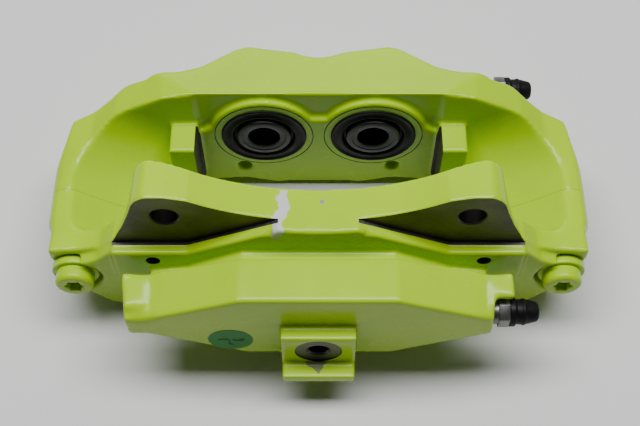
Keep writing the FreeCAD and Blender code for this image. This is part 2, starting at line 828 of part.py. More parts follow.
    extrude(body, "bolt_holes", "XZ", bolt_circles("bolt_hole_rad"), "1", "-lip_reach", cut=True)
    seat_stop = "-arm_near_depth + seat_deep"
    extrude(body, "bolt_seats", "XZ", bolt_circles("seat_rad"), "-lip_reach", seat_stop, cut=True)
    sleeve_stop = "-sleeve_half_long - sleeve_gap"
    extrude(body, "sleeve_seats", "XZ", bolt_circles("sleeve_rad"), "0", sleeve_stop, cut=True)
    cut_crossover(body, -1)
    cut_bleeder_hole(body, -1, "bleed_seat_inboard")
    mount_y = -number("mount_face")
    chamfer_circles(body, "mount_hole_edges", "mount_hole_rad", "mount_chamfer",
                    lambda centre: abs(centre.y - mount_y) < 1e-6)
    place(body, "inboard_housing")


def make_bolts():
    seat = "-arm_near_depth + seat_deep"
    under_head = f"{seat} - washer_thick"
    head_face = f"{under_head} - bolt_head_long"

    bolt = new_body("BridgeBolt")
    shank = [
        ("bolt_into", "bolt_z"),
        ("bolt_into", "bolt_z + bolt_rad - bolt_edge"),
        ("bolt_into - bolt_edge", "bolt_z + bolt_rad"),
        (under_head, "bolt_z + bolt_rad"),
        (under_head, "bolt_z + bolt_head_rad"),
        (f"{head_face} + bolt_edge", "bolt_z + bolt_head_rad"),
        (head_face, "bolt_z + bolt_head_rad - bolt_edge"),
        (head_face, "bolt_z"),
    ]
    revolve(bolt, "shank", "YZ", [shank], "bolt_z", "bolt_x")
    lobes = 6
    torx = []
    for index in range(2 * lobes):
        angle = f"{180 / lobes * index}"
        radius = "torx_out_rad" if index % 2 == 0 else "torx_in_rad"
        torx.append((
            f"bolt_x + {radius} * cos({angle} deg)",
            f"bolt_z + {radius} * sin({angle} deg)",
        ))
    torx_stop = f"{head_face} + torx_deep"
    extrude(bolt, "socket", "XZ", [torx], f"{head_face} - 1", torx_stop, cut=True)
    pair_of(bolt, "bridge_bolts")

    washer = new_body("BoltWasher")
    rings = [
        ("circle", "bolt_x", "bolt_z", "washer_rad"),
        ("circle", "bolt_x", "bolt_z", "washer_hole_rad"),
    ]
    extrude(washer, "ring", "XZ", [*rings], seat, under_head)
    pair_of(washer, "bridge_bolt_washers")

    sleeve = new_body("LocatingSleeve")
    rings = [
        ("circle", "bolt_x", "bolt_z", "sleeve_rad"),
        ("circle", "bolt_x", "bolt_z", "sleeve_inner_rad"),
    ]
    extrude(sleeve, "ring", "XZ", [*rings], "sleeve_half_long", "-sleeve_half_long")
    pair_of(sleeve, "locating_sleeves")


def make_crossover_seal():
    seal = new_body("CrossoverSeal")
    cord = ("circle", "-cross_x + cross_seal_rad", "cross_cord_rad - 0.15", "cross_cord_rad - 0.15")
    revolve(seal, "ring", "XY", [cord], None, "cross_z", axis_across="-cross_x")
    place(seal, "crossover_seal")


def make_cylinder_parts(side, half, x_sign, word):
    """The piston, its dust boot and its seal, in one bore."""
    hand = f"{side} * "
    centre = f"{x_sign} * bore_x"

    piston = new_body(f"Piston_{half}_{word}")
    rim = "piston_face + piston_chamfer"
    cup = [
        (hand + "piston_hollow_back", "bore_z"),
        (hand + "piston_back", "bore_z"),
        (hand + "piston_back", "bore_z + piston_rad - piston_chamfer"),
        (hand + "(piston_back - piston_chamfer)", "bore_z + piston_rad"),
        (hand + "piston_neck_back", "bore_z + piston_rad"),
        (hand + "piston_neck_back", "bore_z + piston_neck_rad"),
        (hand + f"({rim})", "bore_z + piston_neck_rad"),
        (hand + "piston_face", "bore_z + piston_neck_rad - piston_chamfer"),
        (hand + "piston_face", "bore_z + piston_hollow_rad + piston_chamfer"),
        (hand + f"({rim})", "bore_z + piston_hollow_rad"),
        (hand + "piston_hollow_back", "bore_z + piston_hollow_rad"),
    ]
    revolve(piston, "cup", "YZ", [cup], "bore_z", centre)
    place(piston, f"piston_{half}_{word}")

    boot = new_body(f"Boot_{half}_{word}")
    lip_rad = "piston_neck_rad + boot_lip_gap"
    seat = "bore_face + boot_seat_depth"
    rubber = [
        (hand + f"({seat})", "bore_z + boot_seat_rad"),
        (hand + "(bore_face - 0.6)", "bore_z + boot_seat_rad"),
        (hand + "(bore_face - 0.9)", "bore_z + boot_seat_rad - 1"),
        (hand + "(bore_face - 0.9)", "bore_z + fold_rad"),
        (hand + "(bore_face + 1.8)", "bore_z + fold_rad - fold_thick"),
        (hand + "(bore_face + 1.8)", f"bore_z + {lip_rad}"),
        (hand + "(piston_neck_back - 0.2)", f"bore_z + {lip_rad}"),
        (hand + "(piston_neck_back - 0.2)", "bore_z + fold_rad - fold_thick"),
        (hand + f"({seat})", "bore_z + fold_rad - fold_thick"),
    ]
    revolve(boot, "bellows", "YZ", [rubber], "bore_z", centre)
    place(boot, f"dust_boot_{half}_{word}")

    seal = new_body(f"Seal_{half}_{word}")
    ring = [
        (hand + "(seal_groove_near + 0.1)", "bore_z + piston_rad + seal_gap"),
        (hand + "(seal_groove_far - 0.1)", "bore_z + piston_rad + seal_gap"),
        (hand + "(seal_groove_far - 0.1)", "bore_z + seal_groove_rad"),
        (hand + "(seal_groove_near + 0.1)", "bore_z + seal_groove_rad"),
    ]
    revolve(seal, "ring", "YZ", [ring], "bore_z", centre)
    place(seal, f"piston_seal_{half}_{word}")


def make_bleeder(side, half, seat):
    """A bleeder screw along X and the rubber cap on its nipple."""
    station = f"{side} * bleed_y"
    screw = new_body(f"Bleeder_{half}")
    collar_end = f"{seat} + bleed_collar"
    hex_end = f"{collar_end} + bleed_hex_long"
    nipple_end = f"{hex_end} + bleed_nipple_long"
    thread_end = f"{seat} - bleed_thread_deep"
    steps = [
        (f"{thread_end} - 2", "bleed_z"),
        (thread_end, "bleed_z + 2.4"),
        (thread_end, "bleed_z + bleed_thread_rad"),
        (seat, "bleed_z + bleed_thread_rad"),
        (seat, "bleed_z + bleed_collar_rad"),
        (collar_end, "bleed_z + bleed_collar_rad"),
        (collar_end, "bleed_z + bleed_nipple_rad"),
        (f"{nipple_end} - 0.8", "bleed_z + bleed_nipple_rad"),
        (nipple_end, "bleed_z + bleed_nipple_rad - 0.8"),
        (nipple_end, "bleed_z"),
    ]
    revolve(screw, "turned", "XZ", [steps], "bleed_z", station)
    corner_rad = "(bleed_hex_flats / 2 / cos(30 deg))"
    hexagon = []
    for index in range(6):
        angle = 30 + 60 * index
        hexagon.append((
            f"{station} + {corner_rad} * cos({angle} deg)",
            f"bleed_z + {corner_rad} * sin({angle} deg)",
        ))
    extrude(screw, "hexagon", "YZ", [hexagon], collar_end, hex_end)
    core = [("circle", station, "bleed_z", "bleed_core_rad")]
    core_stop = f"{seat} - bleed_thread_deep + 4"
    extrude(screw, "core", "YZ", core, f"{nipple_end} + 1", core_stop, cut=True)
    place(screw, f"bleeder_screw_{half}")

    cap = new_body(f"BleederCap_{half}")
    start = f"{hex_end} + 0.1"
    inner = "bleed_nipple_rad + cap_wall_gap"
    outline = [
        (f"{start}", f"bleed_z + {inner}"),
        (f"{start}", "bleed_z + cap_flange_rad"),
        (f"{start} + cap_flange_long", "bleed_z + cap_flange_rad"),
        (f"{start} + cap_flange_long + 0.5", "bleed_z + cap_waist_rad"),
        (f"{start} + 5.4", "bleed_z + cap_waist_rad"),
        (f"{start} + 5.8", "bleed_z + cap_bead_rad"),
        (f"{start} + 6.8", "bleed_z + cap_bead_rad"),
        (f"{start} + 7.2", "bleed_z + cap_waist_rad"),
        (f"{start} + cap_long - 1", "bleed_z + cap_nose_rad"),
        (f"{start} + cap_long", "bleed_z + cap_nose_rad - 1"),
        (f"{start} + cap_long", "bleed_z"),
        (f"{nipple_end} + 0.3", "bleed_z"),
        (f"{nipple_end} + 0.3", f"bleed_z + {inner}"),
    ]
    revolve(cap, "moulding", "XZ", [outline], "bleed_z", station)
    place(cap, f"bleeder_cap_{half}")


def make_label():
    label = new_body("InspectionSticker")
    disc = [("circle", "label_x", "label_z", "label_rad")]
    extrude(label, "disc", "XZ", disc, "-body_reach", "-body_reach - label_thick")
    place(label, "inspection_sticker")


make_outboard_housing()
make_inboard_housing()
make_bolts()
make_crossover_seal()
for half_side, half_name in ((1, "outboard"), (-1, "inboard")):
    for bore_side, bore_name in ((-1, "left"), (1, "right")):
        make_cylinder_parts(half_side, half_name, bore_side, bore_name)
make_bleeder(1, "outboard", "bleed_seat_outboard")
make_bleeder(-1, "inboard", "bleed_seat_inboard")
make_label()
doc.recompute()

# ---- checks and files ------------------------------------------------------------------

for item in doc.Objects:
    if "Invalid" in item.State or "Error" in item.State:
        raise RuntimeError(f"{item.Name} failed: {item.State}")

os.makedirs("parts", exist_ok=True)
for node in NODES:
    shape = node.Shape
    if shape.isNull() or not shape.isValid():
        raise RuntimeError(f"{node.Label} has no valid shape")
    shape.exportStep(os.path.join("parts", f"{node.Label}.step"))
    box = shape.optimalBoundingBox()
    print(f"{node.Label}: {len(shape.Solids)} solid, {shape.Volume / 1000:.2f} cm3, "
          f"X {box.XMin:.1f} {box.XMax:.1f} Y {box.YMin:.1f} {box.YMax:.1f} "
          f"Z {box.ZMin:.1f} {box.ZMax:.1f}")
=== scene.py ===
import json
import math

import bmesh
import bpy
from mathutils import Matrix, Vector


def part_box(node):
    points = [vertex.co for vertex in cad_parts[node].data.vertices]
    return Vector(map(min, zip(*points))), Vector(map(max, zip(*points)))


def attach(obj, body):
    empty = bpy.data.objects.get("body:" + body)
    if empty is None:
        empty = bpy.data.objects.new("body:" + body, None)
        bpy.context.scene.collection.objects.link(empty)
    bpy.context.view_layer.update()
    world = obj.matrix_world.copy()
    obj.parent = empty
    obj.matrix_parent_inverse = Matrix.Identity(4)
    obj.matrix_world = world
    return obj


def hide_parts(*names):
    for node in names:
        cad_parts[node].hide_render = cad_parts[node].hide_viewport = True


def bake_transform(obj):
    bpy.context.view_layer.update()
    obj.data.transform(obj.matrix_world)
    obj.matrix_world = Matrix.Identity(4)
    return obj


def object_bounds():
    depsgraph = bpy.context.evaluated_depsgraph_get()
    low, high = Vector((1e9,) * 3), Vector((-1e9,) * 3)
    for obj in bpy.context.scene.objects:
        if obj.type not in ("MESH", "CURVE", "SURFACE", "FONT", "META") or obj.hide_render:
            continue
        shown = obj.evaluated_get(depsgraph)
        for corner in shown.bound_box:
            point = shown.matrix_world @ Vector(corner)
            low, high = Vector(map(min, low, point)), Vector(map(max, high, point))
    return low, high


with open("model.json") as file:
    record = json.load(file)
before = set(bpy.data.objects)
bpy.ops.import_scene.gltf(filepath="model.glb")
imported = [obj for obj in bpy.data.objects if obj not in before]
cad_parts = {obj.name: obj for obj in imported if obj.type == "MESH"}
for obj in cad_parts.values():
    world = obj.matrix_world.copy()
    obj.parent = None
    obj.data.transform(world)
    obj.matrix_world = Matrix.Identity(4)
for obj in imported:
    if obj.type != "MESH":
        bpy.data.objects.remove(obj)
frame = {"nodes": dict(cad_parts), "record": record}
CAD_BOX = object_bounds()
scene = bpy.context.scene
BOX_LOW, BOX_HIGH = CAD_BOX
CENTRE = (BOX_LOW + BOX_HIGH) / 2
MM = 0.001
MOUNTS = {mount["name"]: mount for mount in frame["record"]["mounts"]}

# ---- places and sizes ---------------------------------------------------------------------
# Values times MM are in metres, in the part's own frame. Plain numbers of millimetres are
# distances from the parting plane, for from_parting().

PART_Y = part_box("inboard_housing")[1].y          # the plane where the two halves meet
PAINTED, MACHINED = 0, 1                         # material slots of a casting


def from_parting(distance, side=-1):
    """Y at that many millimetres from the parting plane; side is 1 outboard, -1 inboard."""
    return PART_Y + side * distance * MM


def middle(node):
    low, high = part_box(node)
    return (low + high) / 2


BORES = {
    (half, side, word): middle(f"piston_{half}_{word}")
    for half, side in (("outboard", 1), ("inboard", -1)) for word in ("left", "right")
}
BORE_RADIUS = 15.05 * MM
BORE_FACE, BORE_BOTTOM = 34.5, 63.5
BOOT_SEAT_RADIUS = 21.0 * MM
BOOT_SEAT_DEPTH = 2.6
FACE_RING = (24.0 * MM, 24.5 * MM)               # radii of the fine groove round each boot
FACE_RING_DEPTH = 0.7
RECESS_X, RECESS_Z = 38.0 * MM, 18.0 * MM        # the D-shaped recess below each bore
RECESS_HALF_WIDTH, RECESS_DROP = 2.6 * MM, 3.4 * MM
RECESS_DEPTH = 8

MOUNT_FACE, EAR_BACK = 34.4, 16.4
SKIN = 0.6                   # how much the mounting faces are machined back
MILLED_STRIP = 1.9           # how far the cutter ran onto the lip below them
LIP_Z, LIP_OVERRUN = 60.0 * MM, 0.3 * MM
EAR_FOOT, EAR_TOP_Z = 93.4 * MM, 97.8 * MM
EAR_TOP_START, EAR_CORNER, EAR_ROUND = 66.0 * MM, 81.5 * MM, 12.0 * MM
SADDLE_RADIUS, WHEEL_Z = 105.0 * MM, 184.0 * MM  # the saddle is an arc about the wheel's axis
SADDLE_END = 56.0 * MM
POCKET_TIP, POCKET_BEND, POCKET_TIP_Z = 17.5 * MM, 59.0 * MM, 80.0 * MM
MOUNT_HOLE = MOUNTS["mounting_holes"]
MOUNT_HOLE_PITCH = MOUNT_HOLE["dims"]["spacing_x_mm"] * MM
MOUNT_HOLE_RADIUS = MOUNT_HOLE["dims"]["hole_r_mm"] * MM
MOUNT_HOLE_Z = MOUNT_HOLE["pos_m"][2]

PORT = Vector(MOUNTS["brake_line_port"]["pos_m"])
PORT_RADIUS = MOUNTS["brake_line_port"]["dims"]["r_mm"] * MM
PORT_LENGTH = MOUNTS["brake_line_port"]["dims"]["length_mm"] * MM
PORT_FACE_RADIUS, PORT_FACE_DEPTH = 10.75 * MM, 0.4 * MM
PORT_BOSS_ROOT, PORT_BOSS_REACH = 62, 77.3
WINDOW_HALF, ABUTMENT_NEAR = 60.0 * MM, 19.0
ABUTMENT_LOW, ABUTMENT_TOP = 10.0 * MM, 53.5 * MM

BOLT_HEAD_RADIUS = 9.0 * MM
BOLT_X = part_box("bridge_bolts")[1].x - BOLT_HEAD_RADIUS
BOLT_Z = middle("bridge_bolts").z
BOLT_SEAT, BOLT_THREAD_END = 32.5, 22
BOLT_SEAT_RADIUS, BOLT_HOLE_RADIUS = 11.9 * MM, 6.6 * MM
WALL_HOLE = Vector(MOUNTS["bracket_holes"]["pos_m"])
WALL_HOLE_PITCH = MOUNTS["bracket_holes"]["dims"]["spacing_x_mm"] * MM
WALL_HOLE_RADIUS = 3.25 * MM
BLEEDER_SEAT_TO_TIP = 18.5 * MM                  # from the screw's seat to its outer end
BLEEDER_HOLE_RADIUS = 4.7 * MM
BLEEDER_SPOT_RADIUS, BLEEDER_SPOT_LENGTH = 8.2 * MM, 16.0 * MM
CLEAR = 1.0 * MM             # how far outside the metal a cutter starts

# ---- mesh helpers -------------------------------------------------------------------------


def new_object(name, mesh):
    made = bpy.data.objects.new(name, mesh)
    scene.collection.objects.link(made)
    return made


def apply_modifiers(target):
    """Turns the object's modifiers into its mesh."""
    graph = bpy.context.evaluated_depsgraph_get()
    mesh = bpy.data.meshes.new_from_object(target.evaluated_get(graph))
    old = target.data
    target.modifiers.clear()
    target.data = mesh
    bpy.data.meshes.remove(old)


def copy_of_node(node, name):
    """A welded copy of a CAD node's mesh, free to be worked on."""
    source = frame["nodes"][node]
    mesh = source.data.copy()
    mesh.transform(source.matrix_world)
    mesh.materials.clear()
    work = bmesh.new()
    work.from_mesh(mesh)
    bmesh.ops.remove_doubles(work, verts=work.verts, dist=2e-6)
    bmesh.ops.dissolve_degenerate(work, edges=work.edges, dist=1e-7)
    for face in work.faces:
        face.material_index = PAINTED
        face.smooth = False
    work.to_mesh(mesh)
    work.free()
    return new_object(name, mesh)


def solid_of(name, profile, axis, place, steps=64, material=PAINTED):
    """A turned solid: profile holds (along the axis, radius) pairs, on the axis at both ends
    or closed round a ring. axis is "X" or "Y", and place a point on that axis."""
    work = bmesh.new()
    rings = []
    for along, radius in profile:
        if radius == 0.0:
            rings.append([work.verts.new((along, 0.0, 0.0))])
            continue
        ring = []
        for index in range(steps):
            angle = 2 * math.pi * index / steps
            ring.append(work.verts.new((along, radius * math.cos(angle), radius * math.sin(angle))))
        rings.append(ring)
    closed = profile[0][1] != 0.0
    pairs = list(zip(rings, rings[1:])) + ([(rings[-1], rings[0])] if closed else [])
    for near, far in pairs:
        for index in range(steps):
            following = (index + 1) % steps
            if len(near) == 1 and len(far) == 1:
                break
            if len(near) == 1:
                corners = [near[0], far[following], far[index]]
            elif len(far) == 1:
                corners = [near[index], near[following], far[0]]
            else:
                corners = [near[index], near[following], far[following], far[index]]
            work.faces.new(corners).material_index = material
    if axis == "Y":
        for vert in work.verts:
            vert.co = Vector((-vert.co.y, vert.co.x, vert.co.z))
    for vert in work.verts:
        vert.co += place
    bmesh.ops.recalc_face_normals(work, faces=work.faces)
    mesh = bpy.data.meshes.new(name)
    work.to_mesh(mesh)
    work.free()
    return new_object(name, mesh)


def rod(name, start_y, stop_y, x, z, radius, material=PAINTED):
    """A plain cylinder along Y, for filling or cutting."""
    profile = [(start_y, 0.0), (start_y, radius), (stop_y, radius), (stop_y, 0.0)]
    return solid_of(name, profile, "Y", Vector((x, 0.0, z)), material=material)


def prism(name, outline, start_y, stop_y, material=PAINTED):
    """A closed outline in (x, z), carried along Y."""
    work = bmesh.new()
    near = [work.verts.new((x, start_y, z)) for x, z in outline]
    far = [work.verts.new((x, stop_y, z)) for x, z in outline]
    work.faces.new(near)
    work.faces.new(reversed(far))
    for index in range(len(outline)):
        following = (index + 1) % len(outline)
        work.faces.new((near[following], near[index], far[index], far[following]))
    for face in work.faces:
        face.material_index = material
    bmesh.ops.recalc_face_normals(work, faces=work.faces)
    bmesh.ops.triangulate(work, faces=work.faces)
    mesh = bpy.data.meshes.new(name)
    work.to_mesh(mesh)
    work.free()
    return new_object(name, mesh)


def block(name, low, high, material=PAINTED):
    outline = [(low[0], low[2]), (high[0], low[2]), (high[0], high[2]), (low[0], high[2])]
    return prism(name, outline, low[1], high[1], material)


def join(name, parts):
    """One mesh of all the parts, which are used up."""
    work = bmesh.new()
    for part in parts:
        work.from_mesh(part.data)
    mesh = bpy.data.meshes.new(name)
    work.to_mesh(mesh)
    work.free()
    for part in parts:
        bpy.data.objects.remove(part)
    return new_object(name, mesh)


def cut(target, cutters, materials):
    """Takes each cutter out of the target; cut faces keep the cutter's material slot."""
    for piece in (target, *cutters):
        for material in materials:
            piece.data.materials.append(material)
    for cutter in cutters:
        modifier = target.modifiers.new("cut", "BOOLEAN")
        modifier.operation = "DIFFERENCE"
        modifier.solver = "EXACT"
        modifier.object = cutter
    apply_modifiers(target)
    for cutter in cutters:
        bpy.data.objects.remove(cutter)


def shade(target, angle=32.0):
    """Smooth shading that keeps edges sharper than the angle."""
    mesh = target.data
    mesh.polygons.foreach_set("use_smooth", [True] * len(mesh.polygons))
    mesh.set_sharp_from_angle(angle=math.radians(angle))


# ---- castings -----------------------------------------------------------------------------

VOXEL = 0.8 * MM
SMOOTHING_STEPS = 11
KEPT_SHARE = 0.4             # share of the remeshed triangles that is kept
HALF_GAP = 0.06 * MM         # each half stops this short of the parting plane
ARC_STEPS = 8


def ear_outline(hand, grow=0.0):
    """The outline of one mounting face in (x, z), from the ear down to the lip's edge. With grow,
    it runs past the ear's outer edges, as a cutter does."""
    low_z = LIP_Z - (LIP_OVERRUN if grow else 0.0)
    points = [(POCKET_TIP, POCKET_TIP_Z), (POCKET_BEND, low_z), (EAR_FOOT + grow, low_z)]
    if grow:
        points += [(EAR_FOOT + grow, EAR_TOP_Z + grow), (POCKET_TIP, EAR_TOP_Z + grow)]
    else:
        centre = Vector((EAR_CORNER - EAR_ROUND, EAR_TOP_Z - EAR_ROUND))
        for index in range(ARC_STEPS + 1):
            angle = math.radians(90 * index / ARC_STEPS)
            outward = Vector((math.cos(angle), math.sin(angle)))
            points.append(tuple(centre + EAR_ROUND * outward))
        points.append((EAR_TOP_START, EAR_TOP_Z))
        for index in range(ARC_STEPS + 1):
            x = SADDLE_END - index * (SADDLE_END - POCKET_TIP) / ARC_STEPS
            points.append((x, WHEEL_Z - math.sqrt(SADDLE_RADIUS ** 2 - x ** 2)))
    return [(hand * x, z) for x, z in points]


def bore_fillers(place, side):
    """A plug in steps, so that it ends inside the cylinder block."""
    steps = (
        (BORE_FACE + 2, FACE_RING[1] + 0.4 * MM),
        (BORE_FACE + 3.5, BOOT_SEAT_RADIUS + 0.4 * MM),
        (BORE_BOTTOM - 1, BORE_RADIUS + 2.9 * MM),
    )
    start = from_parting(BORE_FACE, side)
    return [rod("filler", start, from_parting(depth, side), place.x, place.z, radius)
            for depth, radius in steps]


def corner_fillers(hand):
    """Plugs for the mounting face, the three holes near it and the two pad abutments."""
    made = [
        prism("filler", ear_outline(hand), from_parting(MOUNT_FACE - 1), from_parting(MOUNT_FACE + SKIN)),
        rod("filler", from_parting(EAR_BACK), from_parting(MOUNT_FACE + 0.5),
            hand * MOUNT_HOLE_PITCH / 2, MOUNT_HOLE_Z, MOUNT_HOLE_RADIUS + 1.8 * MM),
        rod("filler", from_parting(BOLT_THREAD_END + 2, 1), from_parting(BOLT_SEAT + 0.6),
            hand * BOLT_X, BOLT_Z, BOLT_HOLE_RADIUS + 2.9 * MM),
        rod("filler", from_parting(25), from_parting(40.3),
            hand * WALL_HOLE_PITCH / 2, WALL_HOLE.z, WALL_HOLE_RADIUS + 0.95 * MM),
    ]
    for side in (-1, 1):
        ends = sorted((from_parting(ABUTMENT_NEAR, side), from_parting(BORE_FACE + 2, side)))
        reach = sorted((hand * (WINDOW_HALF - 1.2 * MM), hand * (WINDOW_HALF + 2 * MM)))
        made.append(block("filler", (reach[0], ends[0], ABUTMENT_LOW),
                          (reach[1], ends[1], ABUTMENT_TOP)))
    return made


def casting_fillers():
    """Solids that close the machined features, so that rounding the cast skin can't blur them."""
    made = []
    for (_, side, _), place in BORES.items():
        made += bore_fillers(place, side)
    for hand in (-1, 1):
        made += corner_fillers(hand)
    made.append(rod("filler", from_parting(PORT_BOSS_ROOT), from_parting(PORT_BOSS_REACH),
                    PORT.x, PORT.z, PORT_FACE_RADIUS + 0.6 * MM))
    return made


def bore_tools(place, side):
    """The bore with its boot seat, the fine ring round it and the recess below it."""
    face, bottom = from_parting(BORE_FACE - 2, side), from_parting(BORE_BOTTOM, side)
    seat = from_parting(BORE_FACE + BOOT_SEAT_DEPTH, side)
    bore = [(face, 0.0), (face, BOOT_SEAT_RADIUS), (seat, BOOT_SEAT_RADIUS), (seat, BORE_RADIUS),
            (bottom, BORE_RADIUS), (bottom, 0.0)]
    start, stop = from_parting(BORE_FACE - 0.5, side), from_parting(BORE_FACE + FACE_RING_DEPTH, side)
    inner, outer = FACE_RING
    ring = [(start, inner), (start, outer), (stop, outer), (stop, inner)]
    axis_point = Vector((place.x, 0.0, place.z))
    tools = [solid_of("tool", profile, "Y", axis_point, 96, MACHINED) for profile in (bore, ring)]
    recess_x = math.copysign(RECESS_X, place.x)
    half_turn = [math.pi + math.pi * index / 12 for index in range(13)]
    outline = [(recess_x + RECESS_HALF_WIDTH * math.cos(angle), RECESS_Z + RECESS_DROP * math.sin(angle))
               for angle in half_turn]
    ends = sorted((from_parting(BORE_FACE, side), from_parting(BORE_FACE + RECESS_DEPTH, side)))
    tools.append(prism("tool", outline, *ends, MACHINED))
    return tools


def abutment_tool(hand, side):
    """Mills the face that a brake pad slides on."""
    ends = sorted((from_parting(ABUTMENT_NEAR - 4, side), from_parting(BORE_FACE - 0.6, side)))
    reach = sorted((hand * WINDOW_HALF, hand * (WINDOW_HALF - 8 * MM)))
    return block("tool", (reach[0], ends[0], ABUTMENT_LOW - 4 * MM),
                 (reach[1], ends[1], ABUTMENT_TOP + 3 * MM), MACHINED)


def outboard_bolt_tool(hand):
    return rod("tool", from_parting(-1, 1), from_parting(BOLT_THREAD_END, 1), hand * BOLT_X, BOLT_Z,
               BOLT_HOLE_RADIUS, MACHINED)


def inboard_corner_tools(hand):
    """The bolt hole and its painted seat, the mounting face and its hole, and the wall hole."""
    face, back = from_parting(MOUNT_FACE), from_parting(10)
    mount_hole = [(face - CLEAR, 0.0), (face - CLEAR, MOUNT_HOLE_RADIUS + 1.6 * MM),
                  (face + 0.6 * MM, MOUNT_HOLE_RADIUS), (back, MOUNT_HOLE_RADIUS), (back, 0.0)]
    mount_point = Vector((hand * MOUNT_HOLE_PITCH / 2, 0.0, MOUNT_HOLE_Z))
    beyond = from_parting(50)
    return [
        rod("tool", from_parting(-1), beyond, hand * BOLT_X, BOLT_Z, BOLT_HOLE_RADIUS, MACHINED),
        rod("tool", from_parting(BOLT_SEAT), beyond, hand * BOLT_X, BOLT_Z, BOLT_SEAT_RADIUS),
        prism("tool", ear_outline(hand, 8.0 * MM), face, from_parting(MOUNT_FACE + MILLED_STRIP),
              MACHINED),
        solid_of("tool", mount_hole, "Y", mount_point, 64, MACHINED),
        # painted shade: the wall hole is cut with the dark machined finish, though it is painted green
        # inside
        rod("tool", from_parting(33), from_parting(45), hand * WALL_HOLE_PITCH / 2, WALL_HOLE.z,
            WALL_HOLE_RADIUS, MACHINED),
    ]


def port_tools():
    """The brake-line hole with its countersink, in a spot face."""
    mouth = from_parting(PORT_BOSS_REACH)
    floor = mouth + PORT_LENGTH
    hole = [(mouth - CLEAR, 0.0), (mouth - CLEAR, PORT_RADIUS + 2.0 * MM),
            (mouth + 1.4 * MM, PORT_RADIUS), (floor, PORT_RADIUS), (floor + 2 * MM, 0.0)]
    return [
        rod("tool", mouth - CLEAR, mouth + PORT_FACE_DEPTH, PORT.x, PORT.z, PORT_FACE_RADIUS, MACHINED),
        solid_of("tool", hole, "Y", Vector((PORT.x, 0.0, PORT.z)), 64, MACHINED),
    ]


def bleeder_tool(half):
    """The bleeder screw's hole, and the room for its hexagon where it enters the casting."""
    low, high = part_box(f"bleeder_screw_{half}")
    start, seat = low.x - CLEAR, high.x - BLEEDER_SEAT_TO_TIP
    stop = seat + BLEEDER_SPOT_LENGTH
    profile = [(start, 0.0), (start, BLEEDER_HOLE_RADIUS), (seat, BLEEDER_HOLE_RADIUS),
               (seat, BLEEDER_SPOT_RADIUS), (stop, BLEEDER_SPOT_RADIUS), (stop, 0.0)]
    axis_point = Vector((0.0, (low.y + high.y) / 2, (low.z + high.z) / 2))
    return solid_of("tool", profile, "X", axis_point, 64, MACHINED)


def machining_tools(half, side):
    """The solids that are cut away again, crisp, out of one half."""
    tools = []
    for (bore_half, _, _), place in BORES.items():
        if bore_half == half:
            tools += bore_tools(place, side)
    for hand in (-1, 1):
        tools.append(abutment_tool(hand, side))
        tools += [outboard_bolt_tool(hand)] if side > 0 else inboard_corner_tools(hand)
    if side < 0:
        tools += port_tools()
    tools.append(bleeder_tool(half))
    return tools


def ramp(value, start, full):
    """0 at start, rising to 1 at full, on whichever side that lies."""
    return min(1.0, max(0.0, (value - start) / (full - start)))


def rim_softness(across, out, up):
    """Where the bowl runs out into the arms, and the arms into the ears."""
    return ramp(across, 88, 98) * ramp(out, -33, -26) * ramp(out, 34, 26) * ramp(up, 14, 22)


def end_softness(across, out, up):
    """Where the cylinder block's ends meet its sloping top."""
    return ramp(across, 70, 74) * ramp(across, 84, 80) * ramp(out, -45, -49) * ramp(up, 45, 49)


def shoulder_softness(across, out, up):
    """The bends in the outboard half's top."""
    return ramp(across, 46, 54) * ramp(out, 39, 43) * ramp(up, 44, 50)


SOFT_PLACES = ((rim_softness, 34), (end_softness, 40), (shoulder_softness, 26))


def soften(target, softness, steps):
    """Smooths the mesh further where softness is over 0. It is a function of |x|, of y from the
    parting plane and of z, in mm."""
    levels = 5
    members = {level: [] for level in range(1, levels + 1)}
    for vert in target.data.vertices:
        place = vert.co / MM
        level = round(levels * softness(abs(place.x), place.y - PART_Y / MM, place.z))
        if level:
            members[level].append(vert.index)
    group = target.vertex_groups.new(name="soft")
    for level, indices in members.items():
        group.add(indices, level / levels, "REPLACE")
    smooth = target.modifiers.new("soften", "SMOOTH")
    smooth.factor = 0.5
    smooth.iterations = steps
    smooth.vertex_group = group.name
    apply_modifiers(target)
    target.vertex_groups.clear()


def smooth_cast_skin():
    """Both halves as one lump with the rounded edges and fillets of a casting."""
    lump = join("cast_lump", [copy_of_node("outboard_housing", "outboard_copy"),
                              copy_of_node("inboard_housing", "inboard_copy"),
                              *casting_fillers()])
    remesh = lump.modifiers.new("remesh", "REMESH")
    remesh.mode = "VOXEL"
    remesh.voxel_size = VOXEL
    smooth = lump.modifiers.new("smooth", "SMOOTH")
    smooth.factor = 0.5
    smooth.iterations = SMOOTHING_STEPS
    apply_modifiers(lump)
    for softness, steps in SOFT_PLACES:
        soften(lump, softness, steps)
    thin = lump.modifiers.new("thin", "DECIMATE")
    thin.ratio = KEPT_SHARE
    apply_modifiers(lump)
    return lump


def half_of(lump, side):
    """The part of the lump on one side of the parting plane, closed there."""
    work = bmesh.new()
    work.from_mesh(lump.data)
    plane = Vector((0.0, PART_Y + side * HALF_GAP, 0.0))
    everything = work.verts[:] + work.edges[:] + work.faces[:]
    made = bmesh.ops.bisect_plane(work, geom=everything, dist=1e-7, plane_co=plane,
                                  plane_no=Vector((0.0, 1.0, 0.0)),
                                  clear_outer=side < 0, clear_inner=side > 0)
    rim = [item for item in made["geom_cut"] if isinstance(item, bmesh.types.BMEdge)]
    bmesh.ops.triangle_fill(work, edges=rim, use_beauty=True)
    bmesh.ops.recalc_face_normals(work, faces=work.faces)
    bmesh.ops.triangulate(work, faces=work.faces)
    mesh = bpy.data.meshes.new("half")
    work.to_mesh(mesh)
    work.free()
    return mesh


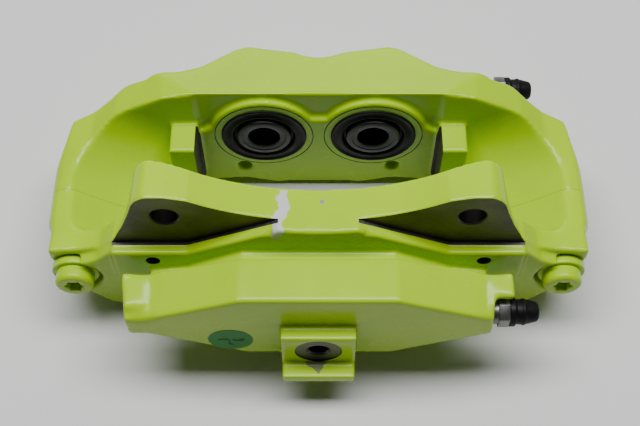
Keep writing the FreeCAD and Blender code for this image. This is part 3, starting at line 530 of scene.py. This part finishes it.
def make_castings(paint, machined):
    lump = smooth_cast_skin()
    for half, side in (("outboard", 1), ("inboard", -1)):
        casting = new_object(f"{half}_casting", half_of(lump, side))
        cut(casting, machining_tools(half, side), (paint, machined))
        shade(casting)
        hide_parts(f"{half}_housing")
        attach(casting, "housing")
    bpy.data.objects.remove(lump)


# ---- materials ----------------------------------------------------------------------------


class Material:
    """A Principled material under construction, with short names for its usual nodes. Its plain
    colour and roughness are what shows where no pattern is linked."""

    def __init__(self, name, colour, roughness, metallic=0.0):
        self.material = bpy.data.materials.new(name)
        self.material.use_nodes = True
        self.nodes = self.material.node_tree.nodes
        self.shader = self.nodes["Principled BSDF"]
        self.shader.inputs["Base Color"].default_value = (*colour, 1.0)
        self.shader.inputs["Roughness"].default_value = roughness
        self.shader.inputs["Metallic"].default_value = metallic
        self.place = self.nodes.new("ShaderNodeTexCoord").outputs["Object"]

    def link(self, source, target):
        self.material.node_tree.links.new(source, target)

    def feed(self, socket, value):
        if hasattr(value, "is_output"):
            self.link(value, socket)
        else:
            socket.default_value = value

    def noise(self, scale, detail=3.0, roughness=0.5, stretch=(1.0, 1.0, 1.0)):
        mapping = self.nodes.new("ShaderNodeMapping")
        mapping.inputs["Scale"].default_value = stretch
        self.link(self.place, mapping.inputs["Vector"])
        node = self.nodes.new("ShaderNodeTexNoise")
        node.inputs["Scale"].default_value = scale
        node.inputs["Detail"].default_value = detail
        node.inputs["Roughness"].default_value = roughness
        self.link(mapping.outputs["Vector"], node.inputs["Vector"])
        return node.outputs["Fac"]

    def remap(self, value, low, high, to_low=0.0, to_high=1.0):
        node = self.nodes.new("ShaderNodeMapRange")
        for name, number in (("From Min", low), ("From Max", high),
                             ("To Min", to_low), ("To Max", to_high)):
            node.inputs[name].default_value = number
        self.link(value, node.inputs["Value"])
        return node.outputs["Result"]

    def maths(self, operation, first, second=0.0):
        node = self.nodes.new("ShaderNodeMath")
        node.operation = operation
        self.feed(node.inputs[0], first)
        self.feed(node.inputs[1], second)
        return node.outputs[0]

    def mix(self, share, first, second):
        node = self.nodes.new("ShaderNodeMix")
        node.data_type = "RGBA"
        self.feed(node.inputs["Factor"], share)
        for socket, value in ((node.inputs[6], first), (node.inputs[7], second)):
            self.feed(socket, value if hasattr(value, "is_output") else (*value, 1.0))
        return node.outputs[2]

    def axes(self):
        node = self.nodes.new("ShaderNodeSeparateXYZ")
        self.link(self.place, node.inputs[0])
        return node.outputs

    def bump(self, height, strength, distance):
        node = self.nodes.new("ShaderNodeBump")
        node.inputs["Strength"].default_value = strength
        node.inputs["Distance"].default_value = distance
        self.link(height, node.inputs["Height"])
        self.link(node.outputs["Normal"], self.shader.inputs["Normal"])

    def within(self, value, low, high, soft):
        """1 where value lies between low and high, fading over soft."""
        rising = self.remap(value, low, low + soft)
        falling = self.remap(value, high - soft, high, 1.0, 0.0)
        return self.maths("MULTIPLY", rising, falling)

    def near(self, point, radius, soft):
        """1 within radius of a point."""
        node = self.nodes.new("ShaderNodeVectorMath")
        node.operation = "DISTANCE"
        self.link(self.place, node.inputs[0])
        node.inputs[1].default_value = point
        return self.remap(node.outputs["Value"], radius, radius + soft, 1.0, 0.0)


ACID_GREEN = (0.35, 0.56, 0.0)
ACID_GREEN_DEEP = (0.31, 0.51, 0.0)
PALE_SPECK, DAUB_GREY, DOT_GREY = (0.62, 0.68, 0.35), (0.50, 0.47, 0.53), (0.22, 0.22, 0.26)
BARE_GREY = (0.10, 0.10, 0.07)
DAUB_X, DAUB_SLANT = (-19.2 * MM, -13.4 * MM), 0.12
DOT_PLACE, DOT_RADIUS = (1.6 * MM, from_parting(25), 79.1 * MM), 0.9 * MM
SCRAPE_HEIGHT, SCRAPE_HALF_WIDTH = 6.2 * MM, 5.5 * MM


def daub_mask(made, x, y, z):
    """A brushed streak over the saddle, wandering with the noise in x."""
    taper = made.maths("MULTIPLY", made.maths("SUBTRACT", y, from_parting(30)), DAUB_SLANT)
    streak = made.within(made.maths("SUBTRACT", x, taper), *DAUB_X, 0.5 * MM)
    length = made.within(y, from_parting(42), from_parting(19.5), 0.6 * MM)
    height = made.within(z, 72 * MM, 90 * MM, 0.5 * MM)
    return made.maths("MULTIPLY", made.maths("MULTIPLY", streak, length), height)


def scrape_mask(made, x, y, z):
    """A rubbed triangle on the ledge below the brake-line hole."""
    beyond = made.maths("SUBTRACT", y, from_parting(PORT_BOSS_REACH + 6.2))
    width = made.maths("MULTIPLY", made.maths("DIVIDE", beyond, SCRAPE_HEIGHT), SCRAPE_HALF_WIDTH)
    inside = made.maths("LESS_THAN", made.maths("ABSOLUTE", x), width)
    level = made.within(z, 20 * MM, 25.2 * MM, 0.4 * MM)
    ahead = made.maths("LESS_THAN", y, from_parting(PORT_BOSS_REACH - 0.2))
    return made.maths("MULTIPLY", made.maths("MULTIPLY", inside, level), ahead)


def with_use_marks(made, colour, rough):
    """The paint's colour and roughness with the daub, the dot and the scrape of the used part."""
    x, y, z = made.axes()
    wobble = made.maths("MULTIPLY", made.maths("SUBTRACT", made.noise(160.0, 2.0), 0.5), 7.0 * MM)
    wandering_x = made.maths("ADD", x, wobble)
    daub = daub_mask(made, wandering_x, y, z)
    scrape = scrape_mask(made, wandering_x, y, z)
    colour = made.mix(made.maths("MULTIPLY", daub, 0.9), colour, DAUB_GREY)
    colour = made.mix(made.near(DOT_PLACE, DOT_RADIUS, 0.3 * MM), colour, DOT_GREY)
    colour = made.mix(made.maths("MULTIPLY", scrape, 0.85), colour, BARE_GREY)
    rough = made.maths("ADD", rough, made.maths("MULTIPLY", made.maths("ADD", daub, scrape), 0.3))
    return colour, rough


def paint_material(marked=False):
    """Gloss powder coat with orange peel; marked adds the marks of use."""
    made = Material("gloss_powder_coat" + ("_marked" if marked else ""), ACID_GREEN, 0.3)
    cloud = made.remap(made.noise(14.0, 4.0), 0.35, 0.65)
    colour = made.mix(cloud, ACID_GREEN_DEEP, ACID_GREEN)
    speck = made.remap(made.noise(900.0, 1.0), 0.80, 0.84)
    colour = made.mix(made.maths("MULTIPLY", speck, 0.35), colour, PALE_SPECK)
    rough = made.remap(made.noise(60.0, 3.0), 0.3, 0.7, 0.22, 0.30)
    if marked:
        colour, rough = with_use_marks(made, colour, rough)
    made.link(colour, made.shader.inputs["Base Color"])
    made.link(rough, made.shader.inputs["Roughness"])
    made.shader.inputs["Specular IOR Level"].default_value = 0.2
    made.shader.inputs["Coat Weight"].default_value = 0.1
    made.shader.inputs["Coat Roughness"].default_value = 0.07
    made.bump(made.noise(420.0, 2.0), 0.10, 0.25 * MM)
    return made.material


def machined_material():
    """Bare dark aluminium with the fine lines of a milling cutter."""
    made = Material("machined_face", (0.045, 0.043, 0.032), 0.42, 0.85)
    lines = made.noise(260.0, 3.0, 0.6, (1.0, 1.0, 7.0))
    stain = made.remap(made.noise(45.0, 4.0), 0.3, 0.7)
    colour = made.mix(stain, (0.050, 0.045, 0.042), (0.110, 0.100, 0.095))
    made.link(colour, made.shader.inputs["Base Color"])
    made.link(made.remap(lines, 0.3, 0.7, 0.34, 0.56), made.shader.inputs["Roughness"])
    made.bump(lines, 0.12, 0.1 * MM)
    return made.material


def rubber_material():
    made = Material("black_rubber", (0.006, 0.006, 0.006), 0.5)
    made.shader.inputs["Specular IOR Level"].default_value = 0.15
    dust = made.remap(made.noise(90.0, 4.0, 0.6), 0.52, 0.8)
    colour = made.mix(made.maths("MULTIPLY", dust, 0.5), (0.003, 0.003, 0.003), (0.012, 0.012, 0.011))
    made.link(colour, made.shader.inputs["Base Color"])
    made.link(made.remap(made.noise(120.0, 2.0), 0.3, 0.7, 0.38, 0.6), made.shader.inputs["Roughness"])
    made.bump(made.noise(1500.0, 2.0), 0.08, 0.1 * MM)
    return made.material


def piston_material():
    made = Material("dark_anodised", (0.018, 0.018, 0.019), 0.35, 0.4)
    turned = made.noise(300.0, 2.0, 0.5, (1.0, 6.0, 1.0))
    colour = made.mix(turned, (0.006, 0.006, 0.006), (0.018, 0.018, 0.018))
    made.link(colour, made.shader.inputs["Base Color"])
    made.link(made.remap(turned, 0.3, 0.7, 0.28, 0.48), made.shader.inputs["Roughness"])
    made.bump(turned, 0.06, 0.1 * MM)
    return made.material


def steel_material():
    made = Material("plated_steel", (0.10, 0.10, 0.10), 0.35, 0.9)
    patch = made.remap(made.noise(110.0, 4.0), 0.35, 0.7)
    colour = made.mix(patch, (0.11, 0.11, 0.115), (0.24, 0.235, 0.225))
    made.link(colour, made.shader.inputs["Base Color"])
    made.link(made.remap(made.noise(240.0, 3.0), 0.3, 0.7, 0.26, 0.48), made.shader.inputs["Roughness"])
    made.bump(made.noise(800.0, 2.0), 0.05, 0.1 * MM)
    return made.material


def label_material():
    made = Material("green_paper", (0.005, 0.19, 0.009), 0.45)
    made.shader.inputs["Specular IOR Level"].default_value = 0.2
    fibre = made.noise(700.0, 3.0, 0.6, (1.0, 1.0, 2.0))
    colour = made.mix(fibre, (0.003, 0.16, 0.006), (0.006, 0.22, 0.012))
    made.link(colour, made.shader.inputs["Base Color"])
    made.link(made.remap(fibre, 0.3, 0.7, 0.38, 0.52), made.shader.inputs["Roughness"])
    made.bump(fibre, 0.05, 0.05 * MM)
    return made.material


def ink_material():
    made = Material("pen_ink", (0.004, 0.03, 0.006), 0.5)
    made.link(made.mix(made.noise(900.0), (0.003, 0.018, 0.005), (0.010, 0.06, 0.014)),
              made.shader.inputs["Base Color"])
    return made.material


# ---- smaller pieces -----------------------------------------------------------------------


def edged_copy(node, body, material, width, steps=2):
    """The CAD piece with its edges rounded to the width."""
    piece = copy_of_node(node, f"{node}_finished")
    work = bmesh.new()
    work.from_mesh(piece.data)
    flat = [edge for edge in work.edges
            if edge.is_manifold and edge.calc_face_angle() < math.radians(1.0)]
    bmesh.ops.dissolve_edges(work, edges=flat, use_verts=False)
    work.to_mesh(piece.data)
    work.free()
    bevel = piece.modifiers.new("bevel", "BEVEL")
    bevel.width = width
    bevel.segments = steps
    bevel.limit_method = "ANGLE"
    bevel.angle_limit = math.radians(32.0)
    apply_modifiers(piece)
    piece.data.materials.clear()
    piece.data.materials.append(material)
    shade(piece, 40.0)
    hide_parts(node)
    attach(piece, body)


def turned_piece(name, node, profile, place, material, angle):
    """A finely turned piece about an axis along Y, which stands in for the node."""
    piece = solid_of(name, profile, "Y", Vector((place.x, 0.0, place.z)), 96)
    piece.data.materials.append(material)
    shade(piece, angle)
    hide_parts(node)
    return piece


PISTON_NECK_RADIUS, BOOT_LIP_RADIUS = 13.35 * MM, 13.42 * MM
PISTON_HOLLOW_RADIUS = 7.65 * MM


def make_boot(half, side, word, place, material):
    """The ring of a folded dust boot, from its rim in the housing to its lip on the piston."""
    low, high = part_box(f"dust_boot_{half}_{word}")
    outer = (high.x - low.x) / 2
    front = high.y if side < 0 else low.y
    back = low.y if side < 0 else high.y

    def depth(distance):
        """Y at that many millimetres behind the boot's front face."""
        return front + side * distance * MM

    profile = [
        (depth(2.9), outer - 0.05 * MM),
        (depth(0.35), outer - 0.05 * MM),
        (depth(0.05), outer - 0.5 * MM),
        (depth(0.35), outer - 1.3 * MM),
        (depth(0.75), outer - 1.8 * MM),
        (depth(0.55), outer - 2.6 * MM),
        (depth(0.50), outer - 3.8 * MM),
        (depth(0.12), outer - 4.6 * MM),
        (depth(0.05), outer - 5.1 * MM),
        (depth(0.50), outer - 5.6 * MM),
        (depth(2.3), 14.9 * MM),
        (depth(2.7), 14.3 * MM),
        (depth(2.75), BOOT_LIP_RADIUS),
        (back - side * 0.1 * MM, BOOT_LIP_RADIUS),
        (back - side * 0.1 * MM, 14.9 * MM),
        (depth(3.4), 15.6 * MM),
    ]
    name = f"boot_{half}_{word}_folded"
    boot = turned_piece(name, f"dust_boot_{half}_{word}", profile, place, material, 60.0)
    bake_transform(boot)


def make_piston(half, side, word, place, material):
    """A hollow piston with the reduced neck that holds the boot's lip."""
    low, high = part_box(f"piston_{half}_{word}")
    face = high.y if side < 0 else low.y
    radius = (high.x - low.x) / 2

    def depth(distance):
        """Y at that many millimetres behind the piston's face."""
        return face + side * distance * MM

    neck, hollow = PISTON_NECK_RADIUS, PISTON_HOLLOW_RADIUS
    profile = [
        (depth(19.8), 0.0),
        (depth(27.8), 0.0),
        (depth(27.8), radius - 0.8 * MM),
        (depth(27.0), radius),
        (depth(5.9), radius),
        (depth(5.8), radius - 0.1 * MM),
        (depth(5.8), neck),
        (depth(0.8), neck),
        (depth(0.25), neck - 0.25 * MM),
        (depth(0.0), neck - 0.8 * MM),
        (depth(0.0), hollow + 3.1 * MM),
        (depth(0.35), hollow + 2.8 * MM),
        (depth(0.35), hollow + 1.0 * MM),
        (depth(0.55), hollow + 0.4 * MM),
        (depth(1.1), hollow),
        (depth(17.0), hollow),
        (depth(19.0), hollow - 2.0 * MM),
        (depth(19.8), 0.0),
    ]
    node = f"piston_{half}_{word}"
    piston = turned_piece(f"{node}_turned", node, profile, place, material, 30.0)
    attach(piston, node)


def make_pen_mark(material):
    """A loose pen stroke on the sticker: a tick with a small loop."""
    low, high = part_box("inspection_sticker")
    centre = (low + high) / 2
    size = (high.x - low.x) / 2
    strokes = [
        [(-0.55, -0.02), (-0.35, 0.12), (-0.1, 0.02), (0.0, -0.2), (-0.18, -0.42), (0.1, -0.5)],
        [(0.08, 0.02), (0.3, -0.12), (0.48, 0.06), (0.62, 0.1), (0.55, -0.12), (0.38, -0.16)],
    ]
    curve = bpy.data.curves.new("pen_stroke", "CURVE")
    curve.dimensions = "3D"
    curve.bevel_depth = 0.28 * MM
    curve.bevel_resolution = 2
    curve.resolution_u = 10
    for stroke in strokes:
        spline = curve.splines.new("NURBS")
        spline.points.add(len(stroke) - 1)
        for point, (across, up) in zip(spline.points, stroke):
            point.co = (centre.x + across * size, low.y + 0.02 * MM, centre.z + up * size, 1.0)
        spline.order_u = 3
        spline.use_endpoint_u = True
    pen = new_object("pen_stroke", curve)
    curve.materials.append(material)
    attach(pen, "housing")


def make_hardware(paint, rubber, steel, label):
    edged_copy("bridge_bolts", "housing", paint, 0.7 * MM, 3)
    edged_copy("bridge_bolt_washers", "housing", paint, 0.6 * MM, 3)
    for half in ("outboard", "inboard"):
        edged_copy(f"bleeder_screw_{half}", f"bleeder_{half}", steel, 0.3 * MM)
        edged_copy(f"bleeder_cap_{half}", f"cap_{half}", rubber, 0.35 * MM, 3)
    edged_copy("inspection_sticker", "housing", label, 0.05 * MM, 1)


def paint_hidden_nodes(rubber, steel):
    """The seals and sleeves stay as the CAD has them, inside the housings."""
    for name, node in frame["nodes"].items():
        if name.startswith("piston_seal") or name == "crossover_seal":
            chosen = rubber
        elif name == "locating_sleeves":
            chosen = steel
        else:
            continue
        for slot in node.material_slots:
            slot.material = chosen


# ---- camera -------------------------------------------------------------------------------

CAMERA_AT = Vector((0.7 * MM, PART_Y - 276.5 * MM, 493.0 * MM))
CAMERA_TILT = math.radians(59.3)     # how far below the horizon it looks
FOCAL_LENGTH = 61.875                # mm on a 36 mm wide sensor


def make_camera():
    data = bpy.data.cameras.new("camera")
    data.lens = FOCAL_LENGTH
    data.sensor_width = 36.0
    data.clip_start = 0.01
    camera = bpy.data.objects.new("camera", data)
    camera.location = CAMERA_AT
    camera.rotation_euler = (math.pi / 2 - CAMERA_TILT, 0.0, 0.0)
    scene.collection.objects.link(camera)
    scene.camera = camera


# ---- floor and light ----------------------------------------------------------------------


FLOOR_GAP = 0.5 * MM


def make_floor():
    """A wide matt plane just under the part."""
    size = 3.0
    mesh = bpy.data.meshes.new("floor")
    corners = [(-size, -size, 0), (size, -size, 0), (size, size, 0), (-size, size, 0)]
    mesh.from_pydata(corners, [], [(0, 1, 2, 3)])
    surface = Material("floor_white", (0.6, 0.6, 0.6), 0.8)
    mesh.materials.append(surface.material)
    floor = new_object("floor", mesh)
    floor.location.z = BOX_LOW.z - FLOOR_GAP


def area_light(name, place, size, power):
    """A soft box in watts, turned towards the part."""
    data = bpy.data.lights.new(name, "AREA")
    data.shape = "RECTANGLE"
    data.size, data.size_y = size
    data.energy = power
    light = bpy.data.objects.new(name, data)
    light.location = place
    light.rotation_euler = (CENTRE - Vector(place)).to_track_quat("-Z", "Y").to_euler()
    scene.collection.objects.link(light)


def make_lights():
    """A soft box above, a weaker one behind, and a faint even sky."""
    world = bpy.data.worlds.new("studio")
    world.use_nodes = True
    world.node_tree.nodes["Background"].inputs["Color"].default_value = (1.0, 1.0, 1.0, 1.0)
    world.node_tree.nodes["Background"].inputs["Strength"].default_value = 0.07
    scene.world = world
    area_light("top", (0.0, 0.1, 1.05), (1.3, 0.3), 21.0)
    area_light("back", (0.0, 0.95, 0.5), (1.4, 0.3), 2.5)


# ---- the whole part -----------------------------------------------------------------------

rubber_finish = rubber_material()
steel_finish = steel_material()
piston_finish = piston_material()
make_castings(paint_material(marked=True), machined_material())
make_hardware(paint_material(), rubber_finish, steel_finish, label_material())
make_pen_mark(ink_material())
paint_hidden_nodes(rubber_finish, steel_finish)
for (half, side, word), place in BORES.items():
    make_boot(half, side, word, place, rubber_finish)
    make_piston(half, side, word, place, piston_finish)
make_camera()
make_floor()
make_lights()
